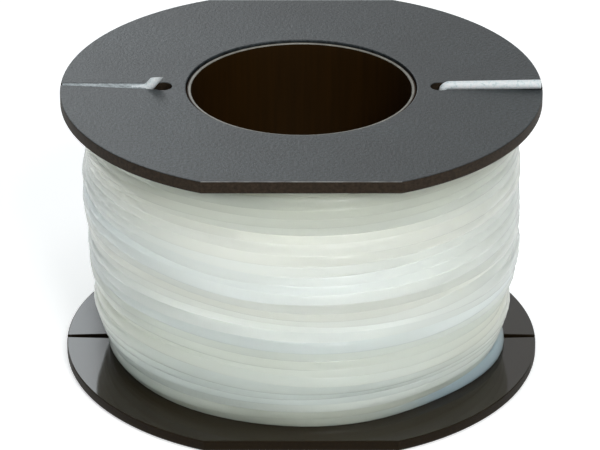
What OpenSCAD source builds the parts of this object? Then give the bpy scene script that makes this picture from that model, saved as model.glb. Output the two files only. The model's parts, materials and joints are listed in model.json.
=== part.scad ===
// Reel of grass-trimmer line: two flat flanges on a hollow core, wound full of round nylon line.
// Millimetres. The origin is the centre of the lower flange's underside, and +Z runs up the axis.
// The flanges have flats at the front and back (-Y, +Y) and line slots at the left and right (-X, +X).

/* [Flanges] */
// Diameter of each flange
flange_d = 80; // [78:0.5:96]
// Thickness of each flange
flange_t = 2.2; // [1.8:0.1:3.4]
// Distance between the two flats of each flange
across_flats = 73.4; // [64:0.2:77]
// Gap between the flanges, which the winding fills
flange_gap = 44.6; // [32:0.2:60]
// Chamfer on the edges of the flanges and of the core's ends
edge_chamfer = 0.25; // [0.1:0.05:0.5]

/* [Core] */
// Diameter of the bore, which turns on a spindle
bore_d = 36.7; // [24:0.1:40]
// Wall of the core's barrel, between the flanges
barrel_wall = 1.85; // [1.4:0.05:3]
// Wall of the core's thinner ends, which sit in the flanges
spigot_wall = 0.8; // [0.6:0.05:1.2]
// How far each end of the core stays below its flange's outer face
spigot_recess = 0.35; // [0.1:0.05:0.8]
// Clearance round the core's ends in the flanges
spigot_clearance = 0.05; // [0.02:0.01:0.1]

/* [Line slots] */
// Diameter of the round hole at the inner end of each slot
keyhole_d = 3.1; // [2.8:0.1:4]
// Width of flange left between the barrel and a keyhole
keyhole_land = 1.25; // [0.6:0.05:3]
// Width of a slot where it leaves its keyhole
slot_inner_w = 2.25; // [1.9:0.05:2.6]
// Width of a slot at the rim
slot_mouth_w = 0.65; // [0.4:0.05:1.1]
// Sideways lean of the upper flange's slots at the rim
slot_lean = 0.87; // [0:0.01:1.2]

/* [Line] */
// Diameter of the line
line_d = 1.6; // [1.2:0.05:1.8]
// Least gap between the loops of the outer layer
loop_gap = 0.42; // [0.41:0.01:0.8]
// How far the winding stays inside the flats
line_below_flats = 0.2; // [0:0.1:3]
// How far the winding draws in at the lower flange
draw_in = 4.5; // [0:0.1:7]
// Height over which the winding draws in
draw_in_h = 20; // [8:0.5:28]
// Clearance between the winding and the reel, and under the outer layer
wind_clearance = 0.1; // [0.05:0.05:0.3]
// Clearance on each side of the line that is pinched in a slot
pinch_clearance = 0.03; // [0.01:0.01:0.05]
// Height that the line's free end stands above the upper flange
free_end_h = 2; // [1:0.1:4]

/* [Hidden] */

flange_color = "#4a4e50";
core_color = "#241d17";
line_color = "#dfe6dc";

$fn = 128;
rings_per_loop = 24;       // rings of the outer layer's tube in each loop
loop_sides = 6;            // sides of that tube
tail_sides = 8;            // sides of the start tail's tube
draw_in_curve = 1.9;       // exponent of the winding's taper: 1 is a straight cone
pack_steps = 16;           // straight steps in the profile of the winding's core
past = 1;                  // overshoot of a cutting solid past the face that it cuts

flange_r = flange_d / 2;
bore_r = bore_d / 2;
spigot_r = bore_r + spigot_wall;
barrel_r = bore_r + barrel_wall;
hole_r = spigot_r + spigot_clearance;
line_r = line_d / 2;

gap_bottom = flange_t;                  // the lower flange's inner face
gap_top = flange_t + flange_gap;        // the upper flange's inner face
reel_top = gap_top + flange_t;          // the upper flange's outer face

keyhole_x = barrel_r + keyhole_land + keyhole_d / 2;
slot_start_x = keyhole_x + keyhole_d / 2;

wind_r = across_flats / 2 - line_below_flats;
pack_bottom = gap_bottom + wind_clearance;
pack_top = gap_top - wind_clearance;
chord_sag = wind_r * (1 - cos(180 / rings_per_loop));
layer_depth = line_d + chord_sag + wind_clearance;

first_loop_z = pack_bottom + line_r;
last_loop_z = pack_top - line_r;
loops = floor((last_loop_z - first_loop_z) / (line_d + loop_gap));
top_loop_r = surface_r(last_loop_z) - line_r;

// The line's start rises through the right keyhole, bends outwards and lies along the slot.
start_off_centre = 0.6;                 // how far outwards of the keyhole's middle it rises
start_rise_x = keyhole_x + start_off_centre;
start_bend_r = 1;                       // radius of the bend, at the line's centre
start_bend_rings = 4;
start_lie_rings = 8;                    // rings along the slot
tail_short_of_rim = 0.3;                // how far both tails end before the rim

// The free end is pinched in the left slot and kicks up where the slot leaves its keyhole.
kick_tilt = 35;                         // from upright, towards the axis
kick_off_keyhole = 0.6;                 // how far outwards of the keyhole it does so
kick_x = slot_start_x + kick_off_keyhole;    // where its centre passes the upper flange's face
kick_depth = 1.3;                       // how deep it starts below that face
pinch_end_depth = 1;                    // thickness of the pinched line at the kick

// Radius of the winding's surface at height z.
function surface_r(z) =
    let (up = min(1, (z - gap_bottom) / draw_in_h))
    wind_r - draw_in * pow(1 - up, draw_in_curve);

// How far along a slot x lies: 0 at the keyhole and 1 at the rim.
function slot_share(x) = (x - slot_start_x) / (flange_r - slot_start_x);
function slot_w(x) = slot_inner_w + (slot_mouth_w - slot_inner_w) * slot_share(x);
function slot_centre_y(x, lean) = -lean * slot_share(x);

// Outline of a slot on the +X side from x0 to x1, drawn in by inset on both sides.
function slot_outline(x0, x1, lean, inset = 0) =
    let (y0 = slot_centre_y(x0, lean), w0 = slot_w(x0) / 2 - inset,
         y1 = slot_centre_y(x1, lean), w1 = slot_w(x1) / 2 - inset)
    [[x0, y0 - w0], [x1, y1 - w1], [x1, y1 + w1], [x0, y0 + w0]];

// Height above the upper flange at which a round line rests on a slot's two edges.
function rest_h(x) =
    let (half_w = slot_w(x) / 2 + pinch_clearance)
    half_w < line_r ? sqrt(line_r * line_r - half_w * half_w) : 0;

// One ring of a tube: a regular polygon in the plane of across and up, with a corner at up.
function ring(centre, across, up, radius, sides) =
    [for (k = [0 : sides - 1])
        let (a = 90 + 360 * k / sides)
        centre + radius * (cos(a) * across + sin(a) * up)];

function unit(v) = v / norm(v);

// The outer layer: loops that climb from the lower flange to the upper one. Its top end runs
// straight against the free end, which stands under the left slot.
end_gap = 0.02;                         // between the outer layer's end and the free end
layer_end_y = -slot_outline(top_loop_r, flange_r, slot_lean, pinch_clearance)[0].y + end_gap;
layer_end_angle = 180 - asin((layer_end_y + line_d) / top_loop_r);
layer_rings = loops * rings_per_loop;
layer_start_angle = layer_end_angle - 360 * loops;

function layer_z(i) = first_loop_z + (last_loop_z - first_loop_z) * i / layer_rings;
function layer_angle(i) = layer_start_angle + 360 * i / rings_per_loop;
function layer_centre(i) =
    let (r = surface_r(layer_z(i)) - line_r)
    [r * cos(layer_angle(i)), r * sin(layer_angle(i)), layer_z(i)];

layer_tube = concat(
    [let (a = layer_start_angle)
        ring(layer_centre(0) - line_d * [-sin(a), cos(a), 0], [cos(a), sin(a), 0], [0, 0, 1],
             line_r, loop_sides)],
    [for (i = [0 : layer_rings])
        let (a = layer_angle(i))
        ring(layer_centre(i), [cos(a), sin(a), 0], [0, 0, 1], line_r, loop_sides)],
    [ring([-top_loop_r, layer_end_y, last_loop_z], [-1, 0, 0], [0, 0, 1], line_r, loop_sides)]);

// The least gap between neighbouring loops, measured between the corners of the tube's rings.
layer_least_gap = min([for (i = [0 : layer_rings - rings_per_loop + 1], step = [-1 : 1], p = layer_tube[i])
    min([for (q = layer_tube[i + rings_per_loop + step]) norm(p - q)])]);
echo(loops = loops, layer_least_gap = layer_least_gap);

// The start tail's centre line.
start_lie_x0 = start_rise_x + start_bend_r;
start_lie_x1 = flange_r - tail_short_of_rim;
start_lie_z = reel_top + wind_clearance;
start_path = concat(
    [[start_rise_x, 0, pack_top]],
    [for (k = [0 : start_bend_rings - 1])
        let (a = 90 * k / start_bend_rings)
        [start_lie_x0 - start_bend_r * cos(a), 0, start_lie_z - start_bend_r * (1 - sin(a))]],
    [for (k = [0 : start_lie_rings - 1])
        let (x = start_lie_x0 + (start_lie_x1 - start_lie_x0) * k / (start_lie_rings - 1))
        [x, slot_centre_y(x, slot_lean), start_lie_z + rest_h(x)]]);

function start_direction(i) =
    i == 0 ? [0, 0, 1]
    : i == len(start_path) - 1 ? [1, 0, 0]
    : unit(start_path[i + 1] - start_path[i - 1]);

start_tube = [for (i = [0 : len(start_path) - 1])
    let (t = start_direction(i), across = unit([0, 1, 0] - t.y * t))
    ring(start_path[i], across, cross(across, t), line_r, tail_sides)];

// A closed tube through a list of rings, all triangles.
module tube(rings) {
    sides = len(rings[0]);
    last = (len(rings) - 1) * sides;
    walls = [for (i = [0 : len(rings) - 2], j = [0 : sides - 1])
        let (a = i * sides + j, b = i * sides + (j + 1) % sides)
        each [[a, b + sides, b], [a, a + sides, b + sides]]];
    ends = [for (j = [1 : sides - 2])
        each [[0, j, j + 1], [last, last + j + 1, last + j]]];
    polyhedron(points = [for (r = rings) each r], faces = concat(walls, ends));
}

// A through cut on the +X side: a keyhole with a slot that narrows towards the rim.
module line_slot(lean) {
    translate([0, 0, -past]) {
        translate([keyhole_x, 0, 0])
            cylinder(d = keyhole_d, h = flange_t + 2 * past);
        linear_extrude(flange_t + 2 * past)
            polygon(slot_outline(keyhole_x, flange_r + past, lean));
    }
}

// A flange that lies on its inner face, with its outer face up.
module flange(lean) {
    difference() {
        rotate_extrude()
            polygon([
                [hole_r, 0],
                [flange_r - edge_chamfer, 0],
                [flange_r, edge_chamfer],
                [flange_r, flange_t - edge_chamfer],
                [flange_r - edge_chamfer, flange_t],
                [hole_r + edge_chamfer, flange_t],
                [hole_r, flange_t - edge_chamfer]]);
        for (side = [0, 180])
            rotate(side)
                translate([-flange_d / 2 - past, across_flats / 2, -past])
                    cube([flange_d + 2 * past, flange_d, flange_t + 2 * past]);
        for (side = [0, 180])
            rotate(side)
                line_slot(lean);
    }
}

module upper_flange() {
    color(flange_color)
        translate([0, 0, gap_top])
            flange(slot_lean);
}

module lower_flange() {
    color(flange_color)
        translate([0, 0, gap_bottom])
            mirror([0, 0, 1])
                flange(0);
}

// The hollow core: a barrel with shoulders that the flanges seat on and thinner ends through them.
module core_tube() {
    color(core_color)
        rotate_extrude()
            polygon([
                [bore_r, spigot_recess],
                [spigot_r - edge_chamfer, spigot_recess],
                [spigot_r, spigot_recess + edge_chamfer],
                [spigot_r, gap_bottom],
                [barrel_r, gap_bottom],
                [barrel_r, gap_top],
                [spigot_r, gap_top],
                [spigot_r, reel_top - spigot_recess - edge_chamfer],
                [spigot_r - edge_chamfer, reel_top - spigot_recess],
                [bore_r, reel_top - spigot_recess]]);
}

// The inner layers of the winding, as one plain solid.
module line_pack() {
    profile = [for (k = [0 : pack_steps])
        let (z = pack_bottom + (pack_top - pack_bottom) * k / pack_steps)
        [surface_r(z) - layer_depth, z]];
    color(line_color)
        rotate_extrude()
            polygon(concat(
                [[barrel_r + wind_clearance, pack_top], [barrel_r + wind_clearance, pack_bottom]],
                profile));
}

module line_outer_layer() {
    color(line_color)
        tube(layer_tube);
}

module line_start_tail() {
    color(line_color)
        tube(start_tube);
}

// Part of the pinched line on the +X side: the slot's outline between two distances from the axis.
module pinched(x0, x1, z0, z1) {
    translate([0, 0, z0])
        linear_extrude(z1 - z0)
            polygon(slot_outline(x0, x1, slot_lean, pinch_clearance));
}

// The free end: a stub under the slot, the line pinched in the slot, and its kicked-up tip.
module line_free_end() {
    color(line_color)
        rotate(180) {
            pinched(top_loop_r - line_r, top_loop_r + line_r, last_loop_z - line_r, reel_top);
            intersection() {
                pinched(kick_x, flange_r - tail_short_of_rim, gap_top, reel_top);
                translate([0, flange_r, 0])
                    rotate([90, 0, 0])
                        linear_extrude(flange_d)
                            polygon([
                                [kick_x, reel_top],
                                [kick_x, reel_top - pinch_end_depth],
                                [top_loop_r - line_r, gap_top],
                                [flange_r, gap_top],
                                [flange_r, reel_top]]);
            }
            intersection() {
                translate([kick_x, slot_centre_y(kick_x, slot_lean), reel_top])
                    rotate([0, -kick_tilt, 0])
                        translate([0, 0, -kick_depth])
                            cylinder(d = line_d, h = kick_depth + 2 * free_end_h + line_d);
                translate([0, -line_d, gap_top])
                    cube([flange_r, 2 * line_d, flange_t + free_end_h]);
            }
        }
}

upper_flange();
lower_flange();
core_tube();
line_pack();
line_outer_layer();
line_start_tail();
line_free_end();
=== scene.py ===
"""A reel of grass-trimmer line: two flat moulded flanges on a hollow core, wound full of nylon line.

Lengths in the making functions are in millimetres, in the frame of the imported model: the origin is
the centre of the lower flange's underside and +Z runs up the reel's axis. They become metres when a
mesh is finished.
"""

import json
import math

import bmesh
import bpy
import numpy as np
from mathutils import Matrix, Vector


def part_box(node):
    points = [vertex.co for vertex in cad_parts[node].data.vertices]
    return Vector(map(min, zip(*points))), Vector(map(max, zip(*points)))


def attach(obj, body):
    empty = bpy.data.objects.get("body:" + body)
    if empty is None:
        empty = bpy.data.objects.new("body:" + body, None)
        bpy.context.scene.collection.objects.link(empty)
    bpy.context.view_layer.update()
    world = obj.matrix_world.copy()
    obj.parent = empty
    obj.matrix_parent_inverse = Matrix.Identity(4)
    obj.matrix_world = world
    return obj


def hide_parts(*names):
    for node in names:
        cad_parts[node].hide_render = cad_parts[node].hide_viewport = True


MM = 0.001
TURN = 2 * math.pi

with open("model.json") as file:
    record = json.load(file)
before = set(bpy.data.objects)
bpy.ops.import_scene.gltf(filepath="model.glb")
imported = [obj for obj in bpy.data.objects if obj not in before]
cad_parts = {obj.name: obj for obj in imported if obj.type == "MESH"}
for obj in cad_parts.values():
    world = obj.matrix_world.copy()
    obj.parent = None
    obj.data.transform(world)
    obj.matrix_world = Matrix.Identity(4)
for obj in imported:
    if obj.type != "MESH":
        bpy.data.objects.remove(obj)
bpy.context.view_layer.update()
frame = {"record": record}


# ---------------------------------------------------------------- sizes, in millimetres

def node_box(name):
    """Lowest and highest corners of a CAD node, in millimetres."""
    low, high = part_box(name)
    return low / MM, high / MM


LOWER_BOX = node_box("lower_flange")
UPPER_BOX = node_box("upper_flange")
CORE_BOX = node_box("core_tube")

FLANGE_R = 40.0
FLANGE_FLAT = UPPER_BOX[1].y            # the flats' distance from the axis
FLANGE_EDGE = 0.16                      # rounding of the flanges' edges
UPPER_UNDERCUT = 0.4                    # the wider rounding under each flange's outer edge
LOWER_UNDERCUT = 0.9
RIM_STEPS = 48                          # steps in an arc of the rim, of a keyhole and of half the hole
KEYHOLE_STEPS = 30
HOLE_STEPS = 72
GAP_BOTTOM = LOWER_BOX[1].z             # the lower flange's inner face
GAP_TOP = UPPER_BOX[0].z                # the upper flange's inner face
REEL_TOP = UPPER_BOX[1].z               # the upper flange's outer face

BORE_R = frame["record"]["mounts"][0]["dims"]["r_mm"]
BARREL_R = CORE_BOX[1].x
SPIGOT_WALL = 0.8                       # wall of the core's thinner ends, which hold the flanges
SPIGOT_PLAY = 0.05
SPIGOT_R = BORE_R + SPIGOT_WALL
HOLE_R = SPIGOT_R + SPIGOT_PLAY
SPIGOT_RECESS = CORE_BOX[0].z           # how far they stop short of the flanges' outer faces
SPIGOT_EDGE = 0.25
SPIGOT_LIP = 0.4                        # width of the paler lip round each end of the bore

KEYHOLE_R = 1.55
KEYHOLE_LAND = 1.25                     # the flange's width between the barrel and a keyhole
KEYHOLE_X = BARREL_R + KEYHOLE_LAND + KEYHOLE_R
SLOT_START_X = KEYHOLE_X + KEYHOLE_R
SLOT_INNER_W = 2.25
SLOT_MOUTH_W = 0.65
SLOT_LEAN = 0.87                        # how far the upper slots lean sideways at the rim

LINE_D = 1.6
LINE_R = LINE_D / 2
TAIL_END_R = FLANGE_R - 0.3             # both tails stop here, just inside the rim
RISE_X = KEYHOLE_X + 0.6                # where the line's start rises through the right keyhole

SAME_PLACE = 0.001                      # nearer to each other than this, two points are one


# ---------------------------------------------------------------- helpers for meshes

def finish_piece(bm, name, materials, sharp_degrees=12.0):
    """Turns a bmesh in millimetres into a piece in metres that rides on the reel.

    An edge at which its surface turns by more than sharp_degrees stays crisp.
    """
    bmesh.ops.recalc_face_normals(bm, faces=bm.faces)
    for face in bm.faces:
        face.smooth = True
    for edge in bm.edges:
        if edge.is_manifold and edge.calc_face_angle() > math.radians(sharp_degrees):
            edge.smooth = False
    bmesh.ops.scale(bm, vec=(MM, MM, MM), verts=bm.verts)
    mesh = bpy.data.meshes.new(name)
    bm.to_mesh(mesh)
    bm.free()
    piece = bpy.data.objects.new(name, mesh)
    bpy.context.scene.collection.objects.link(piece)
    for material in materials:
        mesh.materials.append(material)
    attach(piece, "root")
    return piece


def arc(radius, start, end, steps, centre=(0.0, 0.0)):
    """Points on an arc, both ends included. Angles are in radians."""
    angles = [start + (end - start) * i / steps for i in range(steps + 1)]
    return [(centre[0] + radius * math.cos(a), centre[1] + radius * math.sin(a)) for a in angles]


# ---------------------------------------------------------------- the line slots

def slot_share(x):
    """How far along a slot x lies: 0 where it leaves the keyhole and 1 at the rim."""
    return (x - SLOT_START_X) / (FLANGE_R - SLOT_START_X)


def slot_width(x):
    return SLOT_INNER_W + (SLOT_MOUTH_W - SLOT_INNER_W) * slot_share(x)


def slot_centre(x, lean=SLOT_LEAN):
    """Sideways place of the right slot's centre line. The left slot is the same, turned half a turn."""
    return -lean * slot_share(x)


def keyhole_corner(side, lean):
    """Angle on the keyhole at which one edge of the slot meets it. side is +1 or -1."""
    # The first angle is a guess, and each round brings it closer.
    angle = side * 0.8
    for _ in range(20):
        x = KEYHOLE_X + KEYHOLE_R * math.cos(angle)
        edge_y = slot_centre(x, lean) + side * slot_width(x) / 2
        angle = math.asin(edge_y / KEYHOLE_R)
    return angle


# ---------------------------------------------------------------- the flanges and the core

def flange_half_outline(lean):
    """The +X half of a flange seen from above, counter-clockwise from the middle of the front flat."""
    flat_angle = math.asin(FLANGE_FLAT / FLANGE_R)
    mouth_low = math.asin((-lean - SLOT_MOUTH_W / 2) / FLANGE_R)
    mouth_high = math.asin((-lean + SLOT_MOUTH_W / 2) / FLANGE_R)
    low_corner = keyhole_corner(-1, lean)
    high_corner = keyhole_corner(1, lean)
    points = [(0.0, -FLANGE_FLAT)]
    points += arc(FLANGE_R, -flat_angle, mouth_low, RIM_STEPS)
    points += arc(KEYHOLE_R, low_corner, high_corner - TURN, KEYHOLE_STEPS, (KEYHOLE_X, 0.0))
    points += arc(FLANGE_R, mouth_high, flat_angle, RIM_STEPS)
    points += [(0.0, FLANGE_FLAT)]
    points += arc(HOLE_R, TURN / 4, -TURN / 4, HOLE_STEPS)
    return points


def is_on_rim(place, height):
    """Whether a point at that height lies on a flange's outer outline, its flats included."""
    return abs(place.z - height) < SAME_PLACE and (
        place.xy.length > FLANGE_R - SAME_PLACE or abs(place.y) > FLANGE_FLAT - SAME_PLACE)


def make_flange(name, bottom, top, lean, undercut, materials):
    """A flat disc with two flats, a centre hole and two keyhole slots, with softly rounded edges.

    undercut is the rounding under its outer edge. Its materials are those of its broad faces, of its
    rim and slots, and of the upper edges of its flats, where a pale one paints a highlight.
    """
    bm = bmesh.new()
    outline = [bm.verts.new((x, y, bottom)) for x, y in flange_half_outline(lean)]
    half = bm.faces.new(outline)
    copy = bmesh.ops.duplicate(bm, geom=[half] + list(half.verts) + list(half.edges))
    copied = [v for v in copy["geom"] if isinstance(v, bmesh.types.BMVert)]
    bmesh.ops.rotate(bm, verts=copied, cent=(0, 0, 0), matrix=Matrix.Rotation(math.pi, 3, "Z"))
    bmesh.ops.remove_doubles(bm, verts=bm.verts, dist=SAME_PLACE)
    raised = bmesh.ops.extrude_face_region(bm, geom=list(bm.faces), use_keep_orig=True)
    raised = [v for v in raised["geom"] if isinstance(v, bmesh.types.BMVert)]
    bmesh.ops.translate(bm, verts=raised, vec=(0, 0, top - bottom))
    bmesh.ops.recalc_face_normals(bm, faces=bm.faces)
    below = [e for e in bm.edges if all(is_on_rim(v.co, bottom) for v in e.verts)]
    bmesh.ops.bevel(bm, geom=below, offset=undercut, affect="EDGES", segments=5, profile=0.5, material=-1)
    # What is still a corner gets the small rounding.
    corners = [e for e in bm.edges if e.is_manifold and e.calc_face_angle() > math.radians(30)]
    bmesh.ops.bevel(bm, geom=corners, offset=FLANGE_EDGE, affect="EDGES", segments=3, profile=0.5,
                    material=-1)
    bmesh.ops.recalc_face_normals(bm, faces=bm.faces)
    for face in bm.faces:
        middle = face.calc_center_median()
        faces_up_and_out = 0.6 < face.normal.z < 0.97
        is_upright = abs(face.normal.z) < 0.5
        # Material 2 goes on the upper edges of the flats; on the upper flange it is a painted highlight.
        if faces_up_and_out and abs(middle.y) > FLANGE_FLAT - 1.5 * FLANGE_EDGE:
            face.material_index = 2
        elif is_upright and middle.xy.length > HOLE_R + FLANGE_EDGE:
            face.material_index = 1
    return finish_piece(bm, name, materials)


def make_core(name, materials):
    """The hollow core: a barrel with shoulders that the flanges seat on, and thinner ends."""
    low, high = SPIGOT_RECESS, REEL_TOP - SPIGOT_RECESS
    profile = [
        (BORE_R + SPIGOT_LIP / 4, low), (BORE_R + SPIGOT_LIP, low),
        (SPIGOT_R - SPIGOT_EDGE, low), (SPIGOT_R, low + SPIGOT_EDGE),
        (SPIGOT_R, GAP_BOTTOM), (BARREL_R, GAP_BOTTOM), (BARREL_R, GAP_TOP), (SPIGOT_R, GAP_TOP),
        (SPIGOT_R, high - SPIGOT_EDGE), (SPIGOT_R - SPIGOT_EDGE, high),
        (BORE_R + SPIGOT_LIP, high), (BORE_R + SPIGOT_LIP / 4, high),
        (BORE_R, high - SPIGOT_LIP / 4), (BORE_R, low + SPIGOT_LIP / 4),
    ]
    bm = bmesh.new()
    ring = [bm.verts.new((r, 0.0, z)) for r, z in profile]
    edges = [bm.edges.new((ring[i], ring[(i + 1) % len(ring)])) for i in range(len(ring))]
    bmesh.ops.spin(bm, geom=ring + edges, cent=(0, 0, 0), axis=(0, 0, 1), angle=TURN, steps=144,
                   use_merge=True)
    bmesh.ops.remove_doubles(bm, verts=bm.verts, dist=SAME_PLACE)
    for face in bm.faces:
        middle = face.calc_center_median()
        at_end = middle.z > high - SPIGOT_LIP or middle.z < low + SPIGOT_LIP
        face.material_index = 1 if at_end and middle.xy.length < BORE_R + SPIGOT_LIP else 0
    return finish_piece(bm, name, materials)


# ---------------------------------------------------------------- the wound turns

# A place round the reel is an angle that is 0 at the right slot, 90 degrees at the back, 180 at the
# left slot and 270 at the front.
SLICES = 72                             # places round the reel at which the turns are worked out
WIND_LOW = GAP_BOTTOM + LINE_R + 0.05
WIND_HIGH = GAP_TOP - LINE_R - 0.05
FIRST_R = BARREL_R + LINE_R + 0.05      # centre line of the turns that lie on the bare barrel
WIND_R = 36.35                          # the finished winding's surface
DRAW_IN = 4.75                          # how much narrower it is at the lower flange
DRAW_IN_H = 20.0                        # the height over which it narrows
DRAW_IN_CURVE = 1.9                     # 1 would narrow it as a straight cone
OPEN_PITCH = 9.0
INNER_LAYERS = 8
INNER_PITCH = 1.64
LAYER_REACH = 0.4                       # a hidden layer runs down until the form is this far inside it
OUTER_LAYERS = 3
OUTER_PITCH = 1.60
LAYER_RISE = LINE_D * math.sin(TURN / 6)
HIDDEN_DEPTH = OUTER_LAYERS - 0.4       # layers down from the surface within which no hidden turn lies
LOWEST_SLICES = 136                     # how long the last layer lies on the lower flange
STEP_SLICES = 24                        # then it steps up on itself by STEP_UP, over so many slices
STEP_UP = 1.5
# Its second lap on the lower flange has slipped outwards at the front right: place round the reel in
# degrees, over how many degrees, and how far. There the line is also painted darker and bluer, as
# shade where the dark flange shows through it: place and spread.
LOOSE_SLIP = (350.0, 23.0, 1.8)
LOOSE_SHADE = (342.0, 25.0)
LOOSE_PEAK = 1.6                        # above 1, so that the painted shade is full over a stretch
FOOT_COUNT_FROM = 230                   # degrees at which that lap's places start to be counted

# The layers that show sway up and down. Every turn swoops down at the front, left of the middle, and
# climbs again round the back: place round the reel, and over how many degrees.
SWOOP_AT, SWOOP_OVER = 222, 48
CLIMB_AT, CLIMB_OVER = 40, 80
BACK_END = 150                          # up to here a turn's place is on the climb
SWOOP_AT_WANDER = 7                     # degrees by which the swoop's place wanders
SWOOP_DEPTH, SWOOP_DEPTH_WANDER = 2.4, 0.5
SWOOP_MEAN = 0.35                       # the share of the swoop by which a turn is lowered throughout
CROSSING_LAYER, CROSSING_SWOOP = 1, 0.5     # the layer wound downwards swoops by half as much
# Smaller waves round the reel: height, waves in each turn, and drift from turn to turn and by layer.
SWAYS = ((0.30, 1, 0.35, 1.7), (0.18, 2, 0.7, 0.6), (0.07, 3, 1.7, 0.0))
SWAY_ROOM = 14                          # the sway dies away within this distance of a flange

# The bundles in which the turns lie, as waves up the winding: length, height, how far the wave drifts
# on its way round the reel, and where it starts.
BUNDLES = ((17.0, 0.25, 0.7, 2.61), (7.8, 0.28, 1.3, 4.58), (4.3, 0.13, -1.1, 4.4), (3.1, 0.07, 2.1, 1.3))
BUNDLES_RISE = 10                       # they reach their full height this far above the lowest turn

# How much fuller the winding is than its even form at the left and at the right: height, extra radius.
LEFT_FORM = ((3, 0.6), (8, 0.1), (12.4, -0.1), (14, -0.75), (17, -0.8), (21, -0.9), (23.7, -0.25),
             (27.5, -0.05), (29.5, 0.6), (32, 0.7), (34, -0.1), (36, -0.35), (38.5, -0.45), (46, -0.2))
RIGHT_FORM = ((3, 1.3), (8, 1.2), (12, 0.7), (13.5, -1.0), (15, -0.5), (17, 0.25), (21.5, 0.45),
              (26, -0.05), (29.5, 0.5), (31.6, 0.0), (35, 0.25), (38, 0.1), (46, 0.0))
LOW_DOWN = 10                           # below this height
LEFT_SHARP, LEFT_SHARP_LOW = 2, 8       # how short a stretch of the round each fuller side is
RIGHT_SHARP, RIGHT_SHARP_LOW = 3, 5
# The same low down at the front: place round the reel, extra radius. It dies away upwards.
FRONT_FOOT = ((180, 0.0), (200, -0.1), (212, -0.2), (226, 0.1), (240, 0.1), (250, -0.25), (268, 0.22),
              (286, 0.55), (296, 0.4), (306, -0.35), (318, -0.65), (331, -0.1), (342, 0.0))
FOOT_FADE_FROM, FOOT_FADE_OVER = 3, 8

INNER_STEP = 3                          # the hidden turns are drawn from every third slice
INNER_SIDES = 8                         # sides of their tube, of the one that shows and of its tip
OUTER_SIDES = 12
TIP_SIDES = 16
PRESSED = 1.05                          # pressed together, the turns that show bulge by this much
FLATTENED = 1.36                        # and spread along the reel's axis by this much more
SQUEEZE = 1.06                          # neighbours in a layer press each other this much closer
PROUD = 0.30                            # how far a turn may stand out from the winding's surface
SUNK = 0.40                             # and how far a turn of the last layer may lie below it
FLAT_ROOM = 0.22                        # the line stays this far behind the flats
FLANGE_ROOM = 0.01                      # and this far from the flanges' inner faces
LEVELS = 100                            # heights at which the winding's surface is read
SURFACE_REACH = 8                       # levels, and slices, over which that surface is evened out
ROUND_REACH = 4
SIDE_LIGHT = 1.9                        # above 1, the narrowing brightens the sides and shades the front


def layer_r(z, depth=0.0):
    """Centre line of the outermost layer at a height, or of the layer that many layers below it."""
    narrowing = np.clip(1 - (z - GAP_BOTTOM) / DRAW_IN_H, 0, 1) ** DRAW_IN_CURVE
    return WIND_R - DRAW_IN * narrowing - LINE_R - depth * LAYER_RISE


def smooth_along(values, reach):
    """Averages a run of values over a bell of the given reach, keeping its two ends."""
    offsets = np.arange(-2 * reach, 2 * reach + 1)
    bell = np.exp(-(offsets / reach) ** 2)
    padded = np.pad(values, 2 * reach, mode="edge")
    return np.convolve(padded, bell / bell.sum(), mode="valid")


def ease(share):
    """Turns a steady rise from 0 to 1 into one that starts and ends gently."""
    share = np.clip(share, 0, 1)
    return share * share * (3 - 2 * share)


def run_of_turns(start, stop, pitch):
    """Heights of a run of line from start to stop, one for each slice."""
    return np.linspace(start, stop, max(1, round(abs(stop - start) / pitch * SLICES)), endpoint=False)


def inner_turns():
    """Radius and height along the hidden layers: down the bare barrel, then up and down in layers."""
    z = [run_of_turns(WIND_HIGH, WIND_LOW, OPEN_PITCH)]
    r = [np.full(len(z[0]), FIRST_R)]
    last_r = layer_r(WIND_HIGH, OUTER_LAYERS)
    low = WIND_LOW
    for layer in range(INNER_LAYERS):
        radius = FIRST_R + (last_r - FIRST_R) * layer / (INNER_LAYERS - 1)
        heights = np.linspace(WIND_LOW, WIND_HIGH, 400)
        next_low = heights[np.argmax(layer_r(heights, OUTER_LAYERS) >= radius - LAYER_REACH)]
        if layer % 2 == 0:
            run = run_of_turns(low, WIND_HIGH, INNER_PITCH)
        else:
            run = run_of_turns(WIND_HIGH, next_low, INNER_PITCH)
            low = next_low
        z.append(run)
        r.append(np.minimum(radius, layer_r(run, HIDDEN_DEPTH)))
    r = smooth_along(np.concatenate(r), 6)
    # The line comes in from the right keyhole, so its first third of a turn closes in on the barrel.
    r += (RISE_X - FIRST_R) * (1 - ease(np.arange(len(r)) / (SLICES / 3)))
    return r, np.concatenate(z)


def swell(angle, rest):
    """How far the bundles of turns stand out, round the reel and up it, and how that slopes with height."""
    out = np.zeros_like(rest)
    slope = np.zeros_like(rest)
    share = np.sqrt(np.abs(np.sin(angle))) * ease((rest - WIND_LOW) / BUNDLES_RISE)
    for length, size, drift, start in BUNDLES:
        wave = TURN * rest / length + start + drift * np.sin(angle + start)
        out += share * size * np.sin(wave)
        slope += size * TURN / length * np.cos(wave)
    return out, slope


def lopsided(angle, z):
    """How much fuller the winding is than its even form: at its left, at its right and at its foot."""
    left = np.clip(-np.cos(angle), 0, 1) ** np.where(z < LOW_DOWN, LEFT_SHARP_LOW, LEFT_SHARP)
    right = np.clip(np.cos(angle), 0, 1) ** np.where(z < LOW_DOWN, RIGHT_SHARP_LOW, RIGHT_SHARP)
    foot = 1 - ease((z - FOOT_FADE_FROM) / FOOT_FADE_OVER)
    return (left * np.interp(z, *zip(*LEFT_FORM)) + right * np.interp(z, *zip(*RIGHT_FORM))
            + foot * np.interp(np.degrees(angle) % 360, *zip(*FRONT_FOOT)))


def drum_r(angle, z, rest):
    """Centre line of the outermost layer, with its bundles and its lopsidedness."""
    return layer_r(z) + swell(angle, rest)[0] + lopsided(angle, z)


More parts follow.
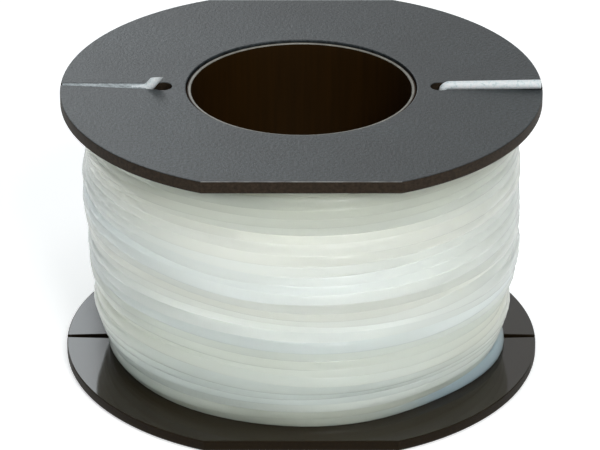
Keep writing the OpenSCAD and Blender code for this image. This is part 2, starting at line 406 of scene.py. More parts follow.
def drum_slope(angle, z, rest):
    """How the winding's surface slopes with height, which sets how it shades.

    Towards the sides its narrowing shades less and then brightens, because light comes through the
    winding there.
    """
    narrowing = (layer_r(z + 0.5) - layer_r(z - 0.5)) * (1 - SIDE_LIGHT * np.abs(np.cos(angle)))
    return narrowing + swell(angle, rest)[1]


def outer_heights(start):
    """Heights along the layers that show, with the wander of line fed by hand, and without it."""
    rest, layer_of = [], []
    z = start
    for layer in range(OUTER_LAYERS):
        stop = WIND_HIGH if layer % 2 == 0 else WIND_LOW
        run = run_of_turns(z, stop, OUTER_PITCH)
        if layer == OUTER_LAYERS - 1:
            run = np.concatenate([
                np.full(LOWEST_SLICES, WIND_LOW), np.linspace(z, z + STEP_UP, STEP_SLICES, endpoint=False),
                run_of_turns(z + STEP_UP, stop, OUTER_PITCH)])
        rest.append(run)
        layer_of.append(np.full(len(run), layer))
        z = stop
    rest, layer_of = np.concatenate(rest), np.concatenate(layer_of)
    index = np.arange(len(rest)) + start_slice()
    angle = index * TURN / SLICES
    turn = index / SLICES
    round_reel = np.degrees(angle) % 360
    swoop_at = SWOOP_AT + SWOOP_AT_WANDER * np.sin(0.2 * rest + 1.9 * layer_of)
    swoop = 1 - ease((round_reel - swoop_at) / SWOOP_OVER)
    swoop = np.where(round_reel < BACK_END, ease((round_reel - CLIMB_AT) / CLIMB_OVER), swoop)
    depth = SWOOP_DEPTH + SWOOP_DEPTH_WANDER * np.sin(0.3 * rest + 2.2 * layer_of)
    depth *= np.where(layer_of == CROSSING_LAYER, CROSSING_SWOOP, 1.0)
    sway = depth * (swoop - SWOOP_MEAN)
    for size, waves, by_turn, by_layer in SWAYS:
        sway += size * np.sin(waves * angle + by_turn * turn + by_layer * layer_of)
    room = np.minimum(rest - WIND_LOW, WIND_HIGH - rest)
    return np.clip(rest + sway * ease(room / SWAY_ROOM), WIND_LOW, WIND_HIGH), rest


def start_slice():
    """The slice at which the outer layers take over from the inner ones."""
    return len(inner_turns()[0]) % SLICES


def in_turns(values, first):
    """A run of values laid out as one row for each turn, blank before its start and after its end."""
    whole = np.full((first + len(values) + SLICES) // SLICES * SLICES, np.nan)
    whole[first:first + len(values)] = values
    return whole.reshape(-1, SLICES)


def outer_turns(start_z):
    """Radius, height and unswayed height along the layers that show.

    Each turn rests on the turns below it. The surface is then brought to the drum's form.
    """
    z, rest = outer_heights(start_z)
    z = smooth_along(z, 4)
    first = start_slice()
    z_turns = in_turns(z, first)
    r_turns = np.full_like(z_turns, np.nan)
    for k in range(len(z_turns)):
        r = layer_r(z_turns[k], OUTER_LAYERS - 1)
        for j in range(k):
            apart = np.abs(z_turns[k] - z_turns[j]) * SQUEEZE
            lift = np.sqrt(np.maximum(LINE_D ** 2 - apart ** 2, 0))
            r = np.where(apart < LINE_D, np.fmax(r, r_turns[j] + lift), r)
        r_turns[k] = r
    laid = in_turns(np.arange(len(z)) - lowest_start(rest), first)
    r_turns = even_out(r_turns, z_turns, in_turns(rest, first), laid)
    r = r_turns.ravel()[first:first + len(z)]
    return smooth_along(r + slipped(rest), 3), z, rest


def even_out(r_turns, z_turns, rest_turns, laid):
    """Moves the turns in or out so that the surface has the drum's form, less its fine detail.

    laid counts the slices along the line from where its last layer starts.
    """
    levels = np.linspace(WIND_LOW, WIND_HIGH, LEVELS)
    surface = np.zeros((SLICES, len(levels)))
    for s in range(SLICES):
        near = np.abs(levels[:, None] - z_turns[None, :, s]) < LINE_R
        top = np.nan_to_num(np.where(near, r_turns[None, :, s], 0)).max(axis=1)
        surface[s] = np.interp(levels, levels[top > 0], top[top > 0])
    surface = np.array([smooth_along(row, SURFACE_REACH) for row in surface])
    # Round the reel the surface has no ends, so it is evened out between two copies of itself.
    tripled = np.vstack([surface, surface, surface])
    surface = np.array([smooth_along(column, ROUND_REACH) for column in tripled.T]).T[SLICES:2 * SLICES]
    moved = r_turns.copy()
    angle = np.arange(SLICES) * TURN / SLICES
    form = drum_r(angle[None, :], z_turns, rest_turns)
    for s in range(SLICES):
        moved[:, s] += form[:, s] - np.interp(z_turns[:, s], levels, surface[s])
    # Pulled tight, a turn stands proud of its neighbours, or sunk between them, by only so much.
    proud = moved - form
    moved = np.where(proud > 0, form + PROUD * np.tanh(proud / PROUD), moved)
    moved = np.where((laid >= LOWEST_SLICES) & (proud < 0), form + SUNK * np.tanh(proud / SUNK), moved)
    # On the lower flange the last layer's second lap lies just on the form.
    moved = np.where((laid >= SLICES) & (laid < LOWEST_SLICES), form, moved)
    # At the front and back the flats are the limit. 0.98 keeps the limit nearly as low between them.
    return np.minimum(moved, (FLANGE_FLAT - LINE_R - FLAT_ROOM) / np.maximum(np.abs(np.sin(angle)), 0.98))


def lowest_start(rest):
    """The slice, counted along the outer layers, at which the last of them starts on the lower flange."""
    return np.flatnonzero((rest[1:] == WIND_LOW) & (rest[:-1] == WIND_LOW))[0]


def place_round_foot(rest):
    """Places along the line in degrees, which are those of the reel on its second lap at the foot."""
    degrees = np.degrees((np.arange(len(rest)) + start_slice()) * TURN / SLICES)
    start = degrees[lowest_start(rest)]
    return degrees - start - (FOOT_COUNT_FROM - start) % 360 + FOOT_COUNT_FROM - 360


def slipped(rest):
    """How far the line has slipped outwards on the lower flange."""
    middle, spread, far = LOOSE_SLIP
    return far * np.exp(-((place_round_foot(rest) - middle) / spread) ** 2)


def looseness(rest):
    """How much painted shade the line takes, as a clear line over the dark flange: up to 1, where it has
    slipped outwards.
    """
    middle, spread = LOOSE_SHADE
    return np.clip(LOOSE_PEAK * np.exp(-((place_round_foot(rest) - middle) / spread) ** 2), 0, 1)


# ---------------------------------------------------------------- the line, piece by piece

START_LIE_Z = REEL_TOP + 0.1            # the start tail's height at its keyhole
TAIL_CLIMB = 0.68                       # pulled tight, it climbs by this much as its slot narrows
START_BEND = 1.0                        # radius at which it bends down into the keyhole
CUT_SPARE = 0.6                         # it is drawn past its end by this much, then cut off square


def start_tail_path():
    """From the rim, in along the right slot, and down through the keyhole."""
    points = []
    for x in np.linspace(TAIL_END_R + CUT_SPARE, RISE_X + START_BEND, 14):
        points.append((x, slot_centre(x), START_LIE_Z + TAIL_CLIMB * slot_share(x)))
    for step in range(1, 6):
        a = TURN / 4 * step / 5
        x = RISE_X + START_BEND - START_BEND * math.sin(a)
        points.append((x, 0.0, START_LIE_Z - START_BEND * (1 - math.cos(a))))
    points.append((RISE_X, 0.0, GAP_TOP + 0.3))
    points.append((RISE_X, 0.35, WIND_HIGH + 0.35))
    return points


LEAVE_AT = 145                          # degrees round the reel at which the last turn leaves the winding
FREE_TILT = math.radians(39)            # the free end's lean from upright
FREE_FACE_X = SLOT_START_X + 0.6        # where it passes the upper flange's face
FREE_H = 2.0                            # how high it stands
SNIP = 0.6                              # how steeply its cut end falls away to the back
MOUTH_X = 39.0                          # where the line rises through the left slot's mouth
MOUTH_PLAY = 0.02
PINCH_START_X = FREE_FACE_X + 0.6       # the pinched length starts here, under the free end's tip
PINCH_GAP = 0.03                        # its clearance from the slot's walls and the flange's face
PINCH_SWELL = 1.05                      # how much more room than a round line's it takes


def pinch_depth(x):
    """Thickness of the pinched line, which keeps about the area of the round line."""
    area = math.pi * LINE_R ** 2
    return min(REEL_TOP - GAP_TOP, area / (slot_width(x) - 2 * PINCH_GAP) * PINCH_SWELL)


def last_bend_path(leave_r):
    """From the last turn out under the flange and up into the left slot's mouth."""
    points = []
    # Degrees round the reel, and how far out the line has come.
    for degrees, reach in ((150, 0.05), (156, 0.3), (162, 0.8), (167, 1.5), (171, 2.2)):
        r = leave_r + reach
        a = math.radians(degrees)
        points.append((r * math.cos(a), r * math.sin(a), WIND_HIGH))
    y = -slot_centre(MOUTH_X)
    points.append((-MOUTH_X + 0.2, y + 2.2, WIND_HIGH + 0.05))
    points.append((-MOUTH_X, y + 1.1, WIND_HIGH + 0.45))
    points.append((-MOUTH_X, y + 0.3, WIND_HIGH + 1.1))
    points.append((-MOUTH_X, y, WIND_HIGH + 1.9))
    return points


def kick_path():
    """The free end's tip: up out of the left slot at its keyhole."""
    y = -slot_centre(FREE_FACE_X)
    points = []
    for back, depth in ((3.0, 0.75), (1.7, 0.72), (0.75, 0.5)):
        points.append((-(FREE_FACE_X + back), y, REEL_TOP - depth))
    for height in (-0.1, 0.5, 1.2, 2.0, 3.2):
        points.append((-(FREE_FACE_X - height * math.tan(FREE_TILT)), y, REEL_TOP + height))
    return points


def squeeze_into_mouth(vertex):
    """Presses the line to the walls of the left slot's mouth where it rises through it."""
    near_rim = vertex.co.x < -MOUTH_X + 2
    if not near_rim or vertex.co.z < GAP_TOP - 0.3:
        return
    centre_y = -slot_centre(MOUTH_X)
    pressed = slot_width(MOUTH_X) / 2 - MOUTH_PLAY
    vertex.co.y = centre_y + max(-pressed, min(pressed, vertex.co.y - centre_y))


def add_pinched_length(bm):
    """The length of line pressed into the left slot, flush with the upper flange's face."""
    places = np.linspace(PINCH_START_X, TAIL_END_R, 25)
    front = [(-x, -slot_centre(x) - slot_width(x) / 2 + PINCH_GAP) for x in places]
    back = [(-x, -slot_centre(x) + slot_width(x) / 2 - PINCH_GAP) for x in places[::-1]]
    top = bm.faces.new([bm.verts.new((x, y, REEL_TOP - PINCH_GAP)) for x, y in front + back])
    sunk = bmesh.ops.extrude_face_region(bm, geom=[top], use_keep_orig=True)["geom"]
    for vertex in [v for v in sunk if isinstance(v, bmesh.types.BMVert)]:
        vertex.co.z = REEL_TOP - pinch_depth(-vertex.co.x)
        for face in vertex.link_faces:
            face.material_index = 2
    top.material_index = 2


def tube(name, path, sides, bulge=1.0):
    """A round tube of about the line's diameter along a path, as a bmesh in millimetres."""
    curve = bpy.data.curves.new(name + "_curve", "CURVE")
    curve.dimensions = "3D"
    curve.bevel_depth = LINE_R * bulge
    curve.bevel_resolution = (sides - 4) // 2
    curve.use_fill_caps = True
    spline = curve.splines.new("POLY")
    spline.points.add(len(path) - 1)
    spline.points.foreach_set("co", np.column_stack([path, np.ones(len(path))]).ravel())
    holder = bpy.data.objects.new(name + "_curve", curve)
    bpy.context.scene.collection.objects.link(holder)
    bpy.context.view_layer.update()
    mesh = bpy.data.meshes.new_from_object(holder.evaluated_get(bpy.context.evaluated_depsgraph_get()))
    bpy.data.objects.remove(holder)
    bm = bmesh.new()
    bm.from_mesh(mesh)
    bpy.data.meshes.remove(mesh)
    return bm


def cut_off(bm, place, outwards):
    """Cuts a tube square at a plane and closes its end."""
    parts = list(bm.verts) + list(bm.edges) + list(bm.faces)
    cut = bmesh.ops.bisect_plane(bm, geom=parts, plane_co=place, plane_no=outwards, clear_outer=True)
    bmesh.ops.edgeloop_fill(bm, edges=[e for e in cut["geom_cut"] if isinstance(e, bmesh.types.BMEdge)])


def squeeze_turns(bm, angle, z, rest):
    """Squeezes the turns a little flat, and notes for their material how each one lies.

    The notes are its unswayed height, the slope of the drum under it and how much painted shade it takes
    where it lies loose.
    """
    rest_layer = bm.verts.layers.float.new("rest_height")
    slope_layer = bm.verts.layers.float.new("drum_slope")
    loose_layer = bm.verts.layers.float.new("loose")
    count = len(angle)
    slope = drum_slope(angle, z[:count], rest[:count])
    loose = looseness(rest)
    for vertex in bm.verts:
        ring = min(vertex.index // OUTER_SIDES, count - 1)
        if vertex.co.z < GAP_TOP:
            spread = vertex.co.z + (FLATTENED - 1) * (vertex.co.z - z[ring])
            vertex.co.z = min(max(spread, GAP_BOTTOM + FLANGE_ROOM), GAP_TOP - FLANGE_ROOM)
        vertex[rest_layer] = rest[ring] * MM
        vertex[slope_layer] = slope[ring]
        vertex[loose_layer] = loose[ring]


def length_of(path):
    """Length in metres of a path in millimetres."""
    return float(np.linalg.norm(np.diff(path, axis=0), axis=1).sum()) * MM


def make_line(inner_materials, outer_materials):
    """The line in two pieces that meet inside the winding: the hidden turns and the turns that show."""
    inner_r, inner_z = inner_turns()
    outer_r, outer_z, rest = outer_turns(inner_z[-1])
    radius = np.concatenate([inner_r, outer_r])
    height = np.concatenate([inner_z, outer_z])
    angle = np.arange(len(radius)) * TURN / SLICES
    # The last turn leaves for the slot at the left, so the winding is cut there.
    last = len(radius) - 1
    while abs(math.degrees(angle[last]) % 360 - LEAVE_AT) > 360 / SLICES:
        last -= 1
    points = np.column_stack([radius * np.cos(angle), radius * np.sin(angle), height])[:last + 1]
    meet = len(inner_r)
    inner_path = np.vstack([start_tail_path(), points[1:meet:INNER_STEP], points[meet]])
    outer_path = np.vstack([points[meet:], last_bend_path(radius[last])])
    print(f"line: {length_of(inner_path) + length_of(outer_path):.2f} m")

    inner = tube("line_inner", inner_path, INNER_SIDES)
    cut_off(inner, (TAIL_END_R, 0, 0), (1, 0, 0))
    outer = tube("line_outer", outer_path, OUTER_SIDES, PRESSED)
    squeeze_turns(outer, angle[meet:last + 1], outer_z, rest)
    for vertex in outer.verts:
        squeeze_into_mouth(vertex)
    tip = tube("line_tip", np.array(kick_path()), TIP_SIDES)
    cut_off(tip, (-FREE_FACE_X, -LINE_R, REEL_TOP + FREE_H), (0, SNIP, 1))
    add_pinched_length(tip)
    tip_mesh = bpy.data.meshes.new("line_tip")
    tip.to_mesh(tip_mesh)
    tip.free()
    outer.from_mesh(tip_mesh)
    bpy.data.meshes.remove(tip_mesh)
    # What has left the gap between the flanges is a tail.
    for bm in (inner, outer):
        for face in bm.faces:
            middle = face.calc_center_median()
            if face.material_index == 0 and middle.z > GAP_TOP + 0.1:
                face.material_index = 1
    return (finish_piece(inner, "line_inner_turns", inner_materials, sharp_degrees=50.0),
            finish_piece(outer, "line_outer_turns", outer_materials, sharp_degrees=50.0))


# ---------------------------------------------------------------- materials

def linear(hex_colour):
    """An sRGB hex colour as linear RGBA."""
    channels = [int(hex_colour[i:i + 2], 16) / 255 for i in (1, 3, 5)]
    return tuple(c / 12.92 if c <= 0.04045 else ((c + 0.055) / 1.055) ** 2.4 for c in channels) + (1.0,)


def add_node(tree, kind, links=None, **settings):
    """Adds a node, with its inputs' values or the sockets that feed them, and its settings."""
    node = tree.nodes.new(kind)
    for key, value in settings.items():
        setattr(node, key, value)
    for key, value in (links or {}).items():
        if isinstance(value, bpy.types.NodeSocket):
            tree.links.new(value, node.inputs[key])
        else:
            node.inputs[key].default_value = value
    return node


def new_material(name):
    material = bpy.data.materials.new(name)
    material.use_nodes = True
    material.node_tree.nodes.clear()
    return material, material.node_tree


def ramp(tree, factor, stops):
    """A colour ramp between (place, hex colour) stops."""
    node = add_node(tree, "ShaderNodeValToRGB", {"Fac": factor})
    node.color_ramp.elements[0].position = stops[0][0]
    node.color_ramp.elements[0].color = linear(stops[0][1])
    node.color_ramp.elements[1].position = stops[-1][0]
    node.color_ramp.elements[1].color = linear(stops[-1][1])
    for place, colour in stops[1:-1]:
        element = node.color_ramp.elements.new(place)
        element.color = linear(colour)
    return node


def grained(name, grain, stops, finish, bump=None, stretch=(1.0, 1.0, 1.0)):
    """A material with one grain, which sets its tone and, where bump is given, its relief.

    grain and finish are the inputs of its noise and its shader, and stops are its tones. bump is the
    relief's strength and its depth in millimetres.
    """
    material, tree = new_material(name)
    place = add_node(tree, "ShaderNodeTexCoord")
    stretched = add_node(tree, "ShaderNodeMapping", {"Vector": place.outputs["Object"], "Scale": stretch})
    noise = add_node(tree, "ShaderNodeTexNoise", {"Vector": stretched.outputs["Vector"], **grain})
    tone = ramp(tree, noise.outputs["Fac"], stops)
    shader = add_node(tree, "ShaderNodeBsdfPrincipled", {"Base Color": tone.outputs["Color"], **finish})
    if bump:
        relief = add_node(tree, "ShaderNodeBump", {
            "Height": noise.outputs["Fac"], "Strength": bump[0], "Distance": bump[1] * MM})
        tree.links.new(relief.outputs["Normal"], shader.inputs["Normal"])
    add_node(tree, "ShaderNodeOutputMaterial", {"Surface": shader.outputs["BSDF"]})
    return material


def textured_black_plastic():
    """Black polypropylene from a spark-eroded mould: fine pits give a grey, even sheen. The blue in its
    tone is a painted cool sheen on the plastic's own near-black.

    Real pits are about 0.1 mm across. They are drawn five times as coarse, so that they show.
    """
    material, tree = new_material("spark_eroded_black_polypropylene")
    place = add_node(tree, "ShaderNodeTexCoord")
    grit = add_node(tree, "ShaderNodeTexNoise", {
        "Vector": place.outputs["Object"], "Scale": 1 / (0.55 * MM), "Detail": 3.0, "Roughness": 0.7})
    cloud = add_node(tree, "ShaderNodeTexNoise", {
        "Vector": place.outputs["Object"], "Scale": 1 / (14 * MM), "Detail": 4.0})
    # Tones: the plastic's own near-black, tinted blue as a painted cool sheen.
    tone = ramp(tree, cloud.outputs["Fac"], [(0.3, "#2c3234"), (0.7, "#394144")])
    pits = ramp(tree, grit.outputs["Fac"], [(0.34, "#6a6a6a"), (0.66, "#ffffff")])
    tone = add_node(tree, "ShaderNodeMix", {
        "Factor": 1.0, "A": tone.outputs["Color"], "B": pits.outputs["Color"]},
        data_type="RGBA", blend_type="MULTIPLY")
    bump = add_node(tree, "ShaderNodeBump", {
        "Height": grit.outputs["Fac"], "Strength": 0.8, "Distance": 0.12 * MM})
    shader = add_node(tree, "ShaderNodeBsdfPrincipled", {
        "Base Color": tone.outputs[2], "Roughness": 0.42, "IOR": 1.49,
        "Specular IOR Level": 0.56, "Normal": bump.outputs["Normal"]})
    add_node(tree, "ShaderNodeOutputMaterial", {"Surface": shader.outputs["BSDF"]})
    return material


def smooth_black_plastic():
    """Black polypropylene from a polished mould: smooth and glossy, with a warm brown depth."""
    return grained(
        "polished_black_polypropylene", {"Scale": 1 / (9 * MM), "Detail": 3.0},
        [(0.3, "#211704"), (0.7, "#261b08")],
        {"Roughness": 0.10, "IOR": 1.49, "Specular IOR Level": 0.38}, bump=(0.05, 0.2))


def rim_plastic(name, dark, light):
    """The same polypropylene on an upright rim, which the mould's wall left dull, dark and brownish.

    Its drag marks are finer than this in truth, and are drawn as coarse as they need to be to show.
    """
    return grained(
        name, {"Scale": 1 / (0.6 * MM), "Detail": 3.0, "Roughness": 0.7}, [(0.3, dark), (0.7, light)],
        {"Roughness": 0.6, "IOR": 1.49, "Specular IOR Level": 0.12}, bump=(0.5, 0.05))


def painted_edge_highlight():
    """A sharp upper edge of the flange, painted pale: a painted highlight along it."""
    return grained(
        "polypropylene_edge_painted_highlight", {"Scale": 1 / (2.5 * MM), "Detail": 4.0},
        [(0.35, "#4c4c4a"), (0.65, "#8d8c88")], {"Roughness": 0.35, "IOR": 1.49})


def core_plastic():
    """Dark brown-black moulded plastic inside the bore, with faint draw marks along the axis."""
    return grained(
        "moulded_dark_brown_polystyrene", {"Scale": 1 / (0.8 * MM), "Detail": 2.0},
        [(0.3, "#281803"), (0.7, "#301d04")],
        {"Roughness": 0.45, "IOR": 1.55, "Specular IOR Level": 0.15},
        bump=(0.2, 0.05), stretch=(1.0, 1.0, 0.05))


def core_end():
    """The core's cut end: the same plastic, paler."""
    return grained(
        "pale_polystyrene_edge", {"Scale": 1 / (1.5 * MM), "Detail": 4.0},
        [(0.3, "#6f6c63"), (0.7, "#98958a")], {"Roughness": 0.4, "IOR": 1.55})


def hidden_nylon():
    """The same nylon deep in the winding, where turns pressed together read as one milky body."""
    return grained(
        "packed_translucent_nylon", {"Scale": 1 / (15 * MM), "Detail": 2.0},
        [(0.35, "#e6e9e2"), (0.65, "#eef1ee")], {"Roughness": 0.5, "IOR": 1.53})


def scuffed_nylon(name, dark, middle, light):
    """The line outside the winding, pulled tight over plastic: whitened, with fine scuffs.

    The scuffs are drawn coarser than real ones, so that they show. Pressed flat into a slot the line
    is thinner, and its grey there is painted shade, for the dark plastic showing through it.
    """
    return grained(
        name, {"Scale": 1 / (0.6 * MM), "Detail": 4.0, "Roughness": 0.65},
        [(0.32, dark), (0.45, middle), (0.7, light)],
        {"Roughness": 0.45, "IOR": 1.53, "Subsurface Weight": 0.3, "Subsurface Radius": (1.0, 1.0, 0.95),
         "Subsurface Scale": 0.5 * MM}, bump=(0.3, 0.03))


NEIGHBOUR_LIGHT = 0.9                   # the share by which a turn shades as the drum under it does
DRUM_LEAN = 0.6                         # how far the drum's slope tilts that shading
BAND_SHIFT = -14 * MM                   # brings a light stretch of the pattern, a painted sheen band, to the winding's middle


def wound_nylon():
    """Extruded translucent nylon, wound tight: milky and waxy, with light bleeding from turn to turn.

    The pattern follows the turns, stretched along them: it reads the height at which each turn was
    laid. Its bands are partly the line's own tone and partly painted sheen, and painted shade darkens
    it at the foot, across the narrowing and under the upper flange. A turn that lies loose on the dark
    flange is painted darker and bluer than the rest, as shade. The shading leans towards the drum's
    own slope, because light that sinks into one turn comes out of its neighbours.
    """
    material, tree = new_material("extruded_translucent_nylon")
    place = add_node(tree, "ShaderNodeTexCoord")
    parts = add_node(tree, "ShaderNodeSeparateXYZ", {"Vector": place.outputs["Object"]})
    laid = add_node(tree, "ShaderNodeAttribute", attribute_name="rest_height")
    along = add_node(tree, "ShaderNodeCombineXYZ", {
        "X": parts.outputs["X"], "Y": parts.outputs["Y"], "Z": laid.outputs["Fac"]})
    stretch = add_node(tree, "ShaderNodeMapping", {
        "Vector": along.outputs["Vector"], "Location": (0.0, 0.0, BAND_SHIFT), "Scale": (0.3, 0.3, 4.0)})
    bands = add_node(tree, "ShaderNodeTexNoise", {
        "Vector": stretch.outputs["Vector"], "Scale": 1 / (22 * MM), "Detail": 2.0, "Roughness": 0.55})
    # Bands along the turns: partly the line's own tone, partly painted sheen.
    light = ramp(tree, bands.outputs["Fac"], [(0.30, "#cbd0cc"), (0.5, "#dde1dd"), (0.70, "#edf1ee")])
    clouds = add_node(tree, "ShaderNodeTexNoise", {
        "Vector": stretch.outputs["Vector"], "Scale": 1 / (38 * MM), "Detail": 1.0})
    warmth = ramp(tree, clouds.outputs["Fac"], [(0.40, "#fafeff"), (0.62, "#fffdf5")])
    tone = add_node(tree, "ShaderNodeMix", {
        "Factor": 1.0, "A": light.outputs["Color"], "B": warmth.outputs["Color"]},
        data_type="RGBA", blend_type="MULTIPLY")
    # Painted shade up the winding, by each turn's height: darker at the foot by the dark lower flange,
    # across the narrowing and under the upper flange, with a warm tint at the last two.
    up = add_node(tree, "ShaderNodeMapRange", {
        "Value": laid.outputs["Fac"], "From Min": GAP_BOTTOM * MM, "From Max": GAP_TOP * MM})
    depth = ramp(tree, up.outputs["Result"], [
        (0.0, "#ccd0ca"), (0.06, "#d4d8d2"), (0.11, "#fdfefc"), (0.17, "#fffffb"), (0.25, "#f4f2e9"),
        (0.33, "#efede2"), (0.39, "#ffffff"), (0.78, "#ffffff"), (0.9, "#e4e3d8"), (1.0, "#dddbce")])
    tone = add_node(tree, "ShaderNodeMix", {
        "Factor": 1.0, "A": tone.outputs[2], "B": depth.outputs["Color"]},
        data_type="RGBA", blend_type="MULTIPLY")
    # Painted shade: a loose turn is darker and bluer, where the dark flange shows through the clear line.
    loose = add_node(tree, "ShaderNodeAttribute", attribute_name="loose")
    tone = add_node(tree, "ShaderNodeMix", {
        "Factor": loose.outputs["Fac"], "A": tone.outputs[2], "B": linear("#a6b8bd")},
        data_type="RGBA")
    radial = add_node(tree, "ShaderNodeVectorMath", {
        0: place.outputs["Object"], 1: (1.0, 1.0, 0.0)}, operation="MULTIPLY")
    radial = add_node(tree, "ShaderNodeVectorMath", {0: radial.outputs["Vector"]},
                      operation="NORMALIZE")
    slope = add_node(tree, "ShaderNodeAttribute", attribute_name="drum_slope")
    downwards = add_node(tree, "ShaderNodeMath", {0: slope.outputs["Fac"], 1: -DRUM_LEAN},
                         operation="MULTIPLY")
    lean = add_node(tree, "ShaderNodeCombineXYZ", {"Z": downwards.outputs[0]})
    drum = add_node(tree, "ShaderNodeVectorMath", {
        0: radial.outputs["Vector"], 1: lean.outputs["Vector"]}, operation="ADD")
    drum = add_node(tree, "ShaderNodeVectorMath", {0: drum.outputs["Vector"]}, operation="NORMALIZE")
    surface = add_node(tree, "ShaderNodeNewGeometry")
    normal = add_node(tree, "ShaderNodeMix", {
        "Factor": NEIGHBOUR_LIGHT, "A": surface.outputs["Normal"], "B": drum.outputs["Vector"]},
        data_type="VECTOR")
    normal = add_node(tree, "ShaderNodeVectorMath", {0: normal.outputs[1]}, operation="NORMALIZE")
    shader = add_node(tree, "ShaderNodeBsdfPrincipled", {
        "Base Color": tone.outputs[2], "Roughness": 0.4, "IOR": 1.53, "Specular IOR Level": 0.3,
        "Subsurface Weight": 1.0, "Subsurface Radius": (1.0, 1.0, 0.9),
        "Subsurface Scale": 6.0 * MM, "Normal": normal.outputs["Vector"],
        "Coat Weight": 0.55, "Coat Roughness": 0.14, "Coat IOR": 1.5},
        subsurface_method="BURLEY")
    add_node(tree, "ShaderNodeOutputMaterial", {"Surface": shader.outputs["BSDF"]})
    return material


def studio_white(name, colour, lift):
    """Backdrop paper that the camera, and gloss, see brighter than it is lit, so that it is white."""
    material, tree = new_material(name)
    ray = add_node(tree, "ShaderNodeLightPath")
    seen = add_node(tree, "ShaderNodeMath", {
        0: ray.outputs["Is Camera Ray"], 1: ray.outputs["Is Glossy Ray"]}, operation="ADD")
    seen = add_node(tree, "ShaderNodeMath", {
        0: seen.outputs[0], 1: ray.outputs["Is Transmission Ray"]}, operation="ADD", use_clamp=True)
    share = add_node(tree, "ShaderNodeMath", {0: seen.outputs[0], 1: lift}, operation="MULTIPLY")
    paint = add_node(tree, "ShaderNodeBsdfDiffuse", {"Color": linear(colour)})
    glow = add_node(tree, "ShaderNodeEmission", {"Color": (1, 1, 1, 1), "Strength": share.outputs[0]})
    both = add_node(tree, "ShaderNodeAddShader", {0: paint.outputs["BSDF"], 1: glow.outputs["Emission"]})
    add_node(tree, "ShaderNodeOutputMaterial", {"Surface": both.outputs["Shader"]})
    return material


# ---------------------------------------------------------------- camera, light and floor

CAMERA_LENS = 239.6                     # on a sensor 36 mm wide
CAMERA_PLACE = (-0.22, -604.3, 318.9 + GAP_BOTTOM)
CAMERA_DOWN = 26.232                    # degrees by which it looks down
FLOOR_SIZE = 3.0                        # metres from the middle to its edges
FLOOR_GLOW = 0.55                       # lifts the lit floor to white
SKY_STRENGTH = 0.29
LAMP_AIM = (0, 0, 0.03)
# Each lamp's name, its place and size in metres, its power in watts and its colour.
LAMPS = (
    ("softbox_front", (0.26, -0.80, 0.66), (0.30, 0.30), 4.0, "#ffffff"),
    ("softbox_back_left", (-0.11, 0.46, 0.24), (0.10, 0.18), 0.18, "#f2faff"),
    ("softbox_back", (-0.05, 0.46, 0.42), (0.16, 0.2), 0.16, "#ffffff"),
    ("softbox_left", (-0.60, -0.60, 0.05), (0.4, 0.12), 0.5, "#ffffff"),
    ("softbox_right", (0.65, -0.55, 0.05), (0.4, 0.12), 0.5, "#ffffff"),
    ("softbox_top", (0.0, -0.30, 0.95), (0.5, 0.3), 1.6, "#ffffff"),
)


def make_camera():
    """A long lens from the front."""
    camera = bpy.data.cameras.new("camera")
    camera.sensor_width = 36.0
    camera.lens = CAMERA_LENS
    holder = bpy.data.objects.new("camera", camera)
    bpy.context.scene.collection.objects.link(holder)
    holder.location = Vector(CAMERA_PLACE) * MM
    holder.rotation_euler = (math.radians(90 - CAMERA_DOWN), 0, 0)
    bpy.context.scene.camera = holder


def make_softbox(name, place, size, power, colour):
    """A rectangular lamp that faces the reel."""
    lamp = bpy.data.lights.new(name, "AREA")
    lamp.color = linear(colour)[:3]
    lamp.shape = "RECTANGLE"
    lamp.size, lamp.size_y = size
    lamp.energy = power
    holder = bpy.data.objects.new(name, lamp)
    bpy.context.scene.collection.objects.link(holder)
    holder.location = place
    holder.rotation_euler = (Vector(LAMP_AIM) - Vector(place)).to_track_quat("-Z", "Y").to_euler()


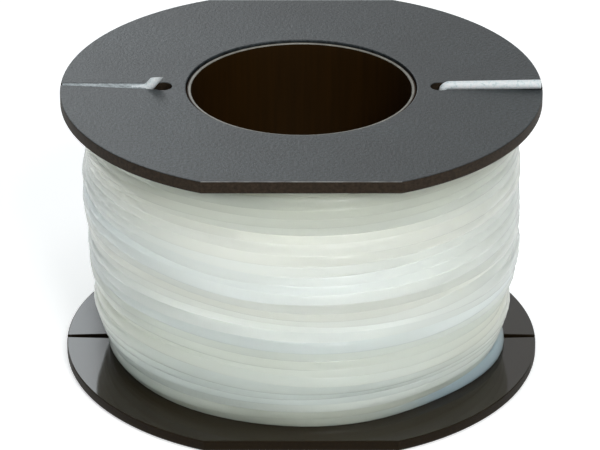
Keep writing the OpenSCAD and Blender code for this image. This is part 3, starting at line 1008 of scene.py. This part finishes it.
def make_studio():
    """A white floor with a backdrop behind it, soft lamps and an even white sky."""
    bm = bmesh.new()
    bmesh.ops.create_grid(bm, x_segments=1, y_segments=1, size=FLOOR_SIZE)
    back = [e for e in bm.edges if all(v.co.y > FLOOR_SIZE / 2 for v in e.verts)]
    wall = bmesh.ops.extrude_edge_only(bm, edges=back)
    raised = [v for v in wall["geom"] if isinstance(v, bmesh.types.BMVert)]
    bmesh.ops.translate(bm, verts=raised, vec=(0, 0.6, 2.5))
    mesh = bpy.data.meshes.new("studio_floor")
    bm.to_mesh(mesh)
    bm.free()
    mesh.materials.append(studio_white("matt_white_backdrop_paper", "#f4f5f5", FLOOR_GLOW))
    floor = bpy.data.objects.new("studio_floor", mesh)
    bpy.context.scene.collection.objects.link(floor)

    world = bpy.data.worlds.new("even_white_sky")
    world.use_nodes = True
    tree = world.node_tree
    tree.nodes.clear()
    sky = add_node(tree, "ShaderNodeBackground", {
        "Color": linear("#f2fafe"), "Strength": SKY_STRENGTH})
    add_node(tree, "ShaderNodeOutputWorld", {"Surface": sky.outputs["Background"]})
    bpy.context.scene.world = world

    for lamp in LAMPS:
        make_softbox(*lamp)


# ---------------------------------------------------------------- the reel

textured = textured_black_plastic()
smooth = smooth_black_plastic()
grey_rim = rim_plastic("moulded_black_polypropylene_rim", "#211a13", "#3a2f24")
brown_rim = rim_plastic("moulded_brown_black_polypropylene_rim", "#130a00", "#1d1200")
# The upper flange's flat edges get a pale painted highlight.
edge_highlight = painted_edge_highlight()
core_wall = core_plastic()
core_rim = core_end()
nylon = wound_nylon()
packed_nylon = hidden_nylon()
tail_nylon = scuffed_nylon("stress_whitened_nylon", "#cbd9db", "#eff8fa", "#ffffff")
# Pressed into the slot, the line is painted grey: shade from the dark plastic under it.
pinched_nylon = scuffed_nylon("pinched_nylon", "#585f62", "#8b9497", "#c9d2d5")

upper = make_flange("upper_flange_disc", GAP_TOP, REEL_TOP, SLOT_LEAN, UPPER_UNDERCUT,
                    [textured, grey_rim, edge_highlight])
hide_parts("upper_flange")

lower = make_flange("lower_flange_disc", 0.0, GAP_BOTTOM, 0.0, LOWER_UNDERCUT,
                    [smooth, brown_rim, smooth])
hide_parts("lower_flange")

core = make_core("core_barrel", [core_wall, core_rim])
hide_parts("core_tube")

inner_line, outer_line = make_line([packed_nylon, tail_nylon], [nylon, tail_nylon, pinched_nylon])
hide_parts("line_pack", "line_start_tail")
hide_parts("line_outer_layer", "line_free_end")

make_studio()
make_camera()

bpy.context.scene.view_settings.view_transform = "Standard"
